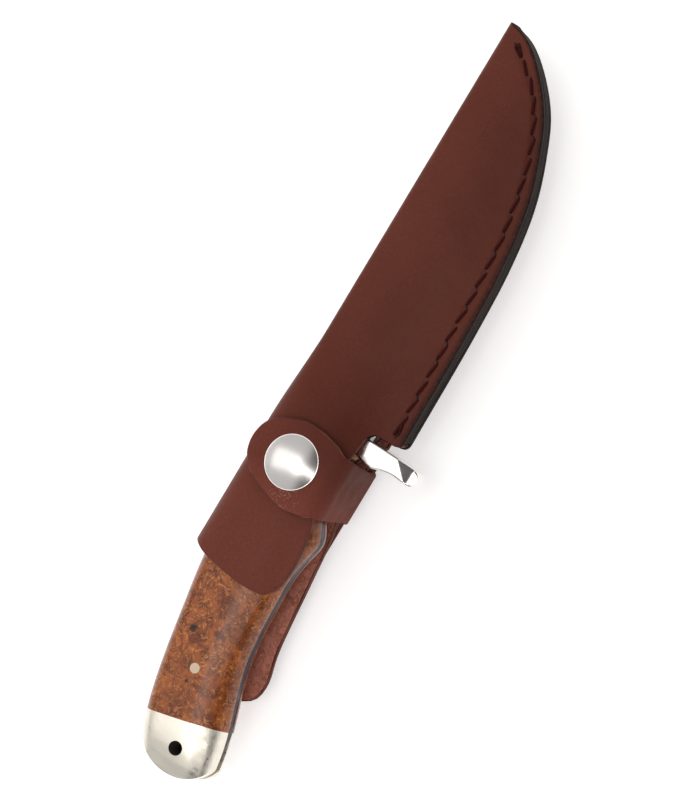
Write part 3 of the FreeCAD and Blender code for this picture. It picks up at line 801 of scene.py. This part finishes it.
def strap_surface(side):
    """Surface over (length from the side wall's middle, y); side 1 is the flap, -1 the root.

    Also a function that turns plan points beyond the bend into such places.
    """
    bend = TOP_BEND if side > 0 else LOW_BEND
    turn = (STRAP_TOP if side > 0 else -STRAP_LOW) - bend
    centre = STRAP_X - bend
    arc = bend * math.pi / 2

    def surface(u, v, out):
        reach = STRIP / 2 + out
        if u <= turn:
            return Vector((STRAP_X + reach, v, side * u))
        if u < turn + arc:
            angle, radius = (u - turn) / bend, bend + reach
            return Vector((centre + radius * math.cos(angle), v, side * (turn + radius * math.sin(angle))))
        x = centre - (u - turn - arc)
        droop = DROOP * (max(0.0, DROOP_X - x) / DROOP_RUN) ** 2 if side > 0 else 0.0
        return Vector((x, v, side * (turn + bend + reach - droop)))

    def past_bend(*plan):
        return [(turn + arc + centre - x, y) for x, y in plan]

    return surface, past_bend


def build_flap():
    """The strap's upper half: up the side wall, over the bend and out to the snap's cap."""
    surface, past_bend = strap_surface(1)
    low_corner, high_corner = (5.8, -22.7), (7.0, -6)
    low = [(0, -24.25), (8, -24.6)]
    low += past_bend((27.3, -25.2), (24.3, -26.4), (20.2, -27), (16, -26.4), (11, -24.9), low_corner)
    high = [(0, -7.45), (8, -6.95)]
    high += past_bend((27.3, -6.4), (24.4, -5.1), (19.6, -3.9), (12.4, -3.8), high_corner)
    end = past_bend(low_corner, (2.3, -18.8), (1.3, -14.4), (2.9, -9.4), high_corner)
    rows = fan_rows(low, high, end, FLAP_ROWS, STRAP_COLUMNS)
    flap = leather_strip("strap_upper", rows, surface, None, "strap_leather", ("strap_flap",), LOOKS["strap"])
    at(29.4, STRAP_Y, 11)
    at(24.4, STRAP_Y, 15.2)
    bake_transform(flap)


def build_root():
    """The strap's lower half: down the side wall and under to where it is sewn on."""
    surface, past_bend = strap_surface(-1)
    root_x = (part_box("strap_root")[0][0] - ORIGIN.x) / MM
    low_corner, high_corner = (root_x + 1, -24.2), (root_x + 1, -7.4)
    low = [(0, -24.25), (8, -23.7)] + past_bend((26, -24.2), low_corner)
    high = [(0, -7.45), (8, -8.2)] + past_bend((26, -7.4), high_corner)
    end = past_bend(low_corner, (root_x, -20), (root_x, -11.6), high_corner)
    rows = fan_rows(low, high, end, ROOT_ROWS, STRAP_COLUMNS)
    replaced = ("strap_root", "strap_side")
    root = leather_strip("strap_lower", rows, surface, None, "strap_leather", replaced, LOOKS["strap"])
    at(24.6, STRAP_Y, -14)
    at(29.4, STRAP_Y, -10)
    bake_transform(root)


# ---------------------------------------------------------------- belt loop
LOOP_MIDDLE = [
    (34, -4.95), (28, -4.95), (22.5, -5.0), (19.5, -5.5), (16.5, -7.2), (8, -13.9), (5, -16.2), (2.4, -17.5),
    (-1, -17.8), (-12, -17.8), (-30, -17.8), (-48, -17.8), (-60, -17.8), (-62.4, -17.3), (-64.2, -15.9),
    (-66.2, -14.0), (-68.4, -13.1), (-72, -13), (-79, -13),
]  # (y, z) of the strip's middle line
LOOP_X = (4.5, 26.5)
LOOP_ROWS, LOOP_COLUMNS = 150, 27
LOOP_CORNER = 2.2


def build_belt_loop():
    line = curve_through(LOOP_MIDDLE, LOOP_ROWS)
    lengths = running_lengths(line)

    def surface(u, v, out):
        i = min(max(bisect_left(lengths, u), 1), len(line) - 1)
        share = (u - lengths[i - 1]) / (lengths[i] - lengths[i - 1])
        place = line[i - 1].lerp(line[i], share)
        along = (line[min(i + 1, len(line) - 1)] - line[max(i - 2, 0)]).normalized()
        normal = Vector((along.y, -along.x))
        if normal.y > 0:
            normal = -normal
        place = place + normal * (STRIP / 2 + out)
        return Vector((v, place.x, place.y))

    rows = []
    for k in range(LOOP_ROWS):
        u = lengths[-1] * k / (LOOP_ROWS - 1)
        inset = 1 - min(u, lengths[-1] - u, LOOP_CORNER) / LOOP_CORNER
        pull = LOOP_CORNER * (1 - math.sqrt(max(0.0, 1 - inset**2)))
        low, high = LOOP_X[0] + pull, LOOP_X[1] - pull
        rows.append([Vector((u, lerp(low, high, j / (LOOP_COLUMNS - 1)))) for j in range(LOOP_COLUMNS)])
    leather_strip("belt_loop_strip", rows, surface, "sheath", "loop_leather", ("belt_loop",), LOOKS["loop"])


build_flap()
build_root()
build_belt_loop()


# ---------------------------------------------------------------- thread
THREAD_RADIUS, THREAD_SIDES = 0.27, 7
PLY_ACROSS, PLY_UP = 0.2, 0.17  # how far each ply winds off the stitch's middle line
DIVE = 0.45  # depth of a stitch's ends under the leather
MOUTH_SIDES = 16
rng = random.Random(7)


def tube(shell, path):
    """Adds one closed ply of thread along 3-D points, with thinner ends."""
    up = Vector((0.13, 0.31, 0.94))  # along no stitch
    rings = []
    for k, place in enumerate(path):
        along = (path[min(k + 1, len(path) - 1)] - path[max(k - 1, 0)]).normalized()
        across = along.cross(up).normalized()
        lift = across.cross(along)
        size = THREAD_RADIUS * (0.55 if k in (0, len(path) - 1) else 1.0)
        rings.append(shell.add_all(place + (across * c + lift * s) * size for c, s in circle(THREAD_SIDES)))
    shell.join(rings)
    shell.face(rings[0][::-1])
    shell.face(rings[-1])


def sewn_thread(shell, first, second, surface, sideways, steps=16, lift=0.3, twists=3.2):
    """One stitch of two twisted plies from hole to hole, diving at both ends.

    surface(place, out) gives a point over the leather; sideways tilts the stitch to its line.
    """
    along = second - first
    across = Vector((-along.y, along.x)).normalized()
    for ply in (0, 1):
        path = []
        for k in range(steps + 1):
            t = k / steps
            place = first + along * t + across * (sideways * (0.5 - t))
            rise = lift * math.sin(math.pi * t) ** 0.45 - DIVE * (abs(2 * t - 1) ** 8)
            turn = 2 * math.pi * twists * t + math.pi * ply
            aside, up = PLY_ACROSS * math.cos(turn), PLY_UP * math.sin(turn)
            path.append(surface(place + across * aside, rise + up))
        tube(shell, path)


def awl_hole_shade(shell, place, along, angle, half_length, surface):
    """Painted shade of an awl hole: a dark lens-shaped mouth laid on the leather, with its floor below."""
    turn = math.atan2(along.y, along.x) + math.radians(angle)
    run, side = Vector((math.cos(turn), math.sin(turn))), Vector((-math.sin(turn), math.cos(turn)))
    rings = []
    for share, width, middle_out, out in ((1.0, 0.34, 0.04, 0.05), (0.9, 0.26, -0.4, -0.35)):
        middle = shell.add(surface(place, middle_out))
        reaches = [run * (share * half_length * c) + side * (width * s) for c, s in circle(MOUTH_SIDES)]
        rings.append(shell.add_all(surface(place + reach, out) for reach in reaches))
        shell.fan(middle, rings[-1])
    shell.join(rings)


def sew_edge():
    """The zigzag row along the edge, front and back, with its doubled ends."""
    for side, word in ((1, "front"), (-1, "back")):
        threads, holes = Shell(), Shell()

        def surface(place, out):
            girth = girth_of(place.x, place.y)
            return skin(girth, place.y, side, out - stitch_dip(girth, place.y))

        for first, second in zip(STITCH_HOLES, STITCH_HOLES[1:]):
            along = (second - first).normalized()
            across = Vector((-along.y, along.x))
            wander = across * rng.uniform(-0.14, 0.14)
            start, end = first + along * 0.7 + wander, second - along * 0.1 + wander
            sewn_thread(threads, start, end, surface, side * rng.uniform(0.75, 1.15))
            angle, half_length = 35 * side + rng.uniform(-6, 6), rng.uniform(0.85, 1.05)
            awl_hole_shade(holes, second + along * 0.25, along, angle, half_length, surface)
        for near, far, back in ((0, 1, 4.0), (-1, -2, 1.4)):
            along = (STITCH_HOLES[far] - STITCH_HOLES[near]).normalized()
            across = Vector((-along.y, along.x)) * 0.36
            first = STITCH_HOLES[near] - along * back
            for side_step, begin, finish, tilt, lift in ((1, 0, 3.6, 0.5, 0.42), (-1, 0.3, 4.0, -0.3, 0.36)):
                offset = first + across * side_step
                sewn_thread(threads, offset + along * begin, offset + along * finish, surface, tilt, 12, lift)
            for distance, angle in ((0.6, 16), (3.4, -10)):
                awl_hole_shade(holes, first + along * distance, along, angle, 1.3, surface)
        replaced = ("edge_stitching",) if side > 0 else ()
        threads.make(f"edge_thread_{word}", [LOOKS["thread"]], "sheath", "thread", replaced)
        # The awl holes' dark mouths are painted shade laid on the leather.
        holes.make(f"edge_awl_hole_shades_{word}", [LOOKS["hole"]], "sheath", "sheath_leather")


def sew_rows(name, rows, height, replaced):
    """Straight rows of two small stitches on the back; the leather's height there is height(y)."""
    threads, hole_shades = Shell(), Shell()

    def surface(place, out):
        return Vector((place.x, place.y, height(place.y) - out))

    for x, y_start, y_end in rows:
        holes = [Vector((x, lerp(y_start, y_end, share))) for share in (0.0, 0.5, 1.0)]
        for first, second in zip(holes, holes[1:]):
            gap = (second - first).normalized() * 0.3
            sewn_thread(threads, first + gap, second - gap, surface, rng.uniform(0.2, 0.45), 10, 0.3, 2.2)
        # Painted shade: a dark lens laid at each hole.
        for hole in holes:
            awl_hole_shade(hole_shades, hole, Vector((0, 1)), 25, 0.55, surface)
    threads.make(name, [LOOKS["thread"]], "sheath", "thread", replaced)
    hole_shades.make(f"{name}_holes", [LOOKS["hole"]], "sheath", "loop_leather")


LOOP_SEWN = [(8, 24, 31.5), (23, 24, 31.5), (12, -77, -69.5), (23.5, -77, -69.5)]
STRAP_SEWN = [(11, -21, -13), (23, -21, -13)]
sew_edge()
sew_rows("loop_thread", LOOP_SEWN, lambda y: -5.95 if y > 0 else -14.0, ("loop_stitching",))
sew_rows("strap_thread", STRAP_SEWN, lambda y: -14.0, ("strap_stitching",))


# ---------------------------------------------------------------- metal and wood
SNAP_CENTRE, CAP_BASE = (15.4, -15.0), 15.2
DOME_BASE, DOME_REACH, DOME_RISE = 0.2, 7.34, 2.4
DOME_RADIUS = (DOME_REACH**2 + DOME_RISE**2) / (2 * DOME_RISE)
DOME_STEPS, CAP_SIDES = 22, 96
CAP_RIM = [(7.38, 0.17), (7.43, 0.18), (7.52, 0.18), (7.58, 0.14), (7.6, 0.08), (7.54, 0.02)]
# Lanyard hole centre; sides and (radius, height) rings of the painted-shade tube inside it.
LANYARD_CENTRE, SHADE_TUBE_SIDES = (26.7, -96.8), 48
SHADE_TUBE_RINGS = [(1.98, -8.6), (1.98, 8.6), (1.7, 8.75), (1.7, -8.75)]


def build_snap_cap():
    """Domed cap with a rolled rim, closed underneath."""
    shell, profile = Shell(), []
    for k in range(1, DOME_STEPS + 1):
        reach = DOME_REACH * k / DOME_STEPS
        sink = DOME_RADIUS - math.sqrt(DOME_RADIUS**2 - reach**2)
        profile.append((reach, DOME_BASE + DOME_RISE - sink))
    top = shell.add(Vector((*SNAP_CENTRE, CAP_BASE + DOME_BASE + DOME_RISE)))
    profile += CAP_RIM
    rings = [shell.level_ring(SNAP_CENTRE, reach, CAP_BASE + rise, CAP_SIDES) for reach, rise in profile]
    shell.fan(top, rings[0])
    shell.join(rings)
    shell.face(rings[-1])
    shell.make("snap_cap_dome", [LOOKS["snap"]], "strap_flap", "snap_metal", ("snap_cap",))


def build_lanyard_hole_shade():
    """Painted shade: a near-black tube inside the lanyard hole, open at both ends."""
    shell = Shell()
    rings = [shell.level_ring(LANYARD_CENTRE, radius, height, SHADE_TUBE_SIDES) for radius, height in SHADE_TUBE_RINGS]
    shell.join(rings + rings[:1])
    shell.make("lanyard_hole_shade", [LOOKS["hole"]], "knife", "nickel_silver")


GUARD_FRONT = [(3.4, 0), (14, 0.4), (28, 0.2), (42.4, -0.3), (43.5, -0.75), (44.05, -1.7), (44.2, -2.6)]
GUARD_REAR = [
    (3.4, -5.3), (18, -5.3), (27, -5.4), (28.8, -6.1), (31, -6.2), (34, -5.2), (37.5, -4.6), (41.5, -4.85),
    (43.3, -4.75), (44.0, -3.9), (44.2, -2.7),
]
GUARD_POINTS = 240
GUARD_HALF, QUILLON_HALF = 5.2, 3.9
DISH_START, DISH_LEAN, DISH_DEPTH, PAD_X = 36.4, 1.05, 0.4, 41.9
GUARD_CORNER = 0.5
RING_STEPS = 26
GUARD_STATIONS = [lerp(3.4, 34, k / 50) for k in range(50)] + [lerp(34, 43.9, k / 110) for k in range(111)]
GUARD_STATIONS += [44.05, 44.14, 44.2]


def guard_face(x, y):
    """Half thickness of the guard; the quillon's face is dished before its rounded end pad."""
    half = lerp(GUARD_HALF, QUILLON_HALF, ramp(x, 17, 26))
    start = DISH_START + DISH_LEAN * max(0.0, -y)
    dish = DISH_DEPTH * max(0.0, min(x, PAD_X) - start) * (1 - ramp(x, PAD_X, PAD_X + 0.25))
    pad_fall = 0.3 * max(0.0, x - 42.3) ** 1.5
    return half - dish - pad_fall


def outline_y(outline, x):
    i = min(max(bisect_left([p.x for p in outline], x), 1), len(outline) - 1)
    a, b = outline[i - 1], outline[i]
    return lerp(a.y, b.y, min(max((x - a.x) / max(b.x - a.x, 1e-6), 0.0), 1.0))


def build_guard():
    """Rings round the bar, one at each station along the quillon, with rounded corners."""
    shell, rings = Shell(), []
    outlines = curve_through(GUARD_FRONT, GUARD_POINTS), curve_through(GUARD_REAR, GUARD_POINTS)
    for x in GUARD_STATIONS:
        front, rear = (outline_y(outline, x) for outline in outlines)
        corner = min(GUARD_CORNER, (front - rear) / 2.2)
        half_ring = []
        for k in range(RING_STEPS + 1):
            y = lerp(front, rear, 0.5 - 0.5 * math.cos(math.pi * k / RING_STEPS))
            depth = max(0.0, corner - min(front - y, y - rear))
            fall = corner - math.sqrt(max(0.0, corner**2 - depth**2))
            half_ring.append((y, guard_face(x, y) - fall))
        ring = half_ring + [(y, -z) for y, z in reversed(half_ring)]
        rings.append(shell.add_all(Vector((x, y, z)) for y, z in ring))
    shell.join(rings)
    shell.face(rings[0][::-1])
    shell.face(rings[-1])
    piece = shell.make("guard_polished", [LOOKS["guard"]], "knife", "nickel_silver", ("guard",))
    piece.data.set_sharp_from_angle(angle=math.radians(32))


build_snap_cap()
build_guard()
build_lanyard_hole_shade()

FINISHES = {
    "wood": ("scale_front", "scale_back"),
    "steel": ("blade",),
    "nickel": ("pommel_front", "pommel_back", "pommel_pins"),
    "pin": ("front_handle_pin", "rear_handle_pin"),
    "welt": ("welt",),
    "snap_plain": ("snap_stud", "snap_post", "snap_socket", "snap_spring"),
}
for look, nodes in FINISHES.items():
    for node in nodes:
        NODES[node].data.materials.clear()
        NODES[node].data.materials.append(LOOKS[look])


# ---------------------------------------------------------------- camera, light and floor
VIEW_DISTANCE, VIEW_HEIGHT = 1.0, 0.2144  # metres
SENSOR = 36.0
LIGHTS = {  # name: place about the middle, width and depth in metres, power in watts
    "fill_softbox": ((-0.6, -0.15, 1.1), 1.04, 1.9, 5.0),
    "key_softbox": ((0.14, -0.12, 1.08), 0.38, 0.6, 2.0),
    "side_softbox": ((0.74, -0.1, 0.86), 0.3, 0.9, 2.0),
}
SOFT_WHITE = (1.0, 0.985, 0.97)
FLOOR_HALF, FLOOR_GREY, FLOOR_GLOW = 3.0, 0.85, 0.5


def make_camera():
    """Long lens above the knife's right side, rolled so that the sheath leans right."""
    back = Vector((0.309, 0.063, 0.949)).normalized()
    lean = math.radians(31.0)
    along = (Vector((0, 1, 0)) - back * back.y).normalized()
    across = along.cross(back)
    up = along * math.cos(lean) - across * math.sin(lean)
    right = along * math.sin(lean) + across * math.cos(lean)
    low, high = (Vector(corner) for corner in CAD_BOX)
    target = (low + high) / 2 + Vector((-6.7, 0.8, 0.5)) * MM
    data = bpy.data.cameras.new("camera")
    data.sensor_width = SENSOR
    data.lens = SENSOR * VIEW_DISTANCE / VIEW_HEIGHT
    data.clip_start = 0.05
    camera = bpy.data.objects.new("camera", data)
    bpy.context.scene.collection.objects.link(camera)
    turn = Matrix((right, up, back)).transposed()
    camera.matrix_world = Matrix.Translation(target + back * VIEW_DISTANCE) @ turn.to_4x4()
    bpy.context.scene.camera = camera


def make_light(name, place, aim, width, depth, power):
    data = bpy.data.lights.new(name, "AREA")
    data.shape = "RECTANGLE"
    data.size, data.size_y = width, depth
    data.energy = power
    data.color = SOFT_WHITE
    light = bpy.data.objects.new(name, data)
    bpy.context.scene.collection.objects.link(light)
    light.location = place
    light.rotation_mode = "QUATERNION"
    light.rotation_quaternion = (place - aim).to_track_quat("Z", "Y")


def make_floor():
    mesh = bpy.data.meshes.new("floor")
    corners = [(x * FLOOR_HALF, y * FLOOR_HALF, 0) for x, y in ((-1, -1), (1, -1), (1, 1), (-1, 1))]
    mesh.from_pydata(corners, [], [(0, 1, 2, 3)])
    floor = bpy.data.objects.new("floor", mesh)
    floor.location.z = CAD_BOX[0][2] - 0.05 * MM
    bpy.context.scene.collection.objects.link(floor)
    look = Look("floor_paint", (FLOOR_GREY,) * 3, 0.9)
    look.shade(Emission_Color=(1, 1, 1), Emission_Strength=FLOOR_GLOW)
    floor.data.materials.append(look.material)


def dim_world():
    """White room, dark on the right, so that curved metal has something to show."""
    world = bpy.data.worlds.new("studio")
    world.use_nodes = True
    room = Nodes(world.node_tree)
    direction = room.node("TexCoord").outputs["Generated"]
    rise = room.maths("DOT_PRODUCT", direction, (-1.0, -0.1, 0.3), "VectorMath")
    strength = room.remap(rise, -0.27, 0.05, 0.08, 0.55)
    room.fill(world.node_tree.nodes["Background"], Color=(1, 1, 1), Strength=strength)
    bpy.context.scene.world = world


def light_scene():
    """A big softbox left, a small bright one overhead and a narrow one right, in a half-dark room."""
    dim_world()
    bpy.context.scene.view_settings.view_transform = "Standard"
    middle = Vector((0, 0, 0.02))
    for name, (place, width, depth, power) in LIGHTS.items():
        make_light(name, middle + Vector(place), middle, width, depth, power)


make_camera()
light_scene()
make_floor()
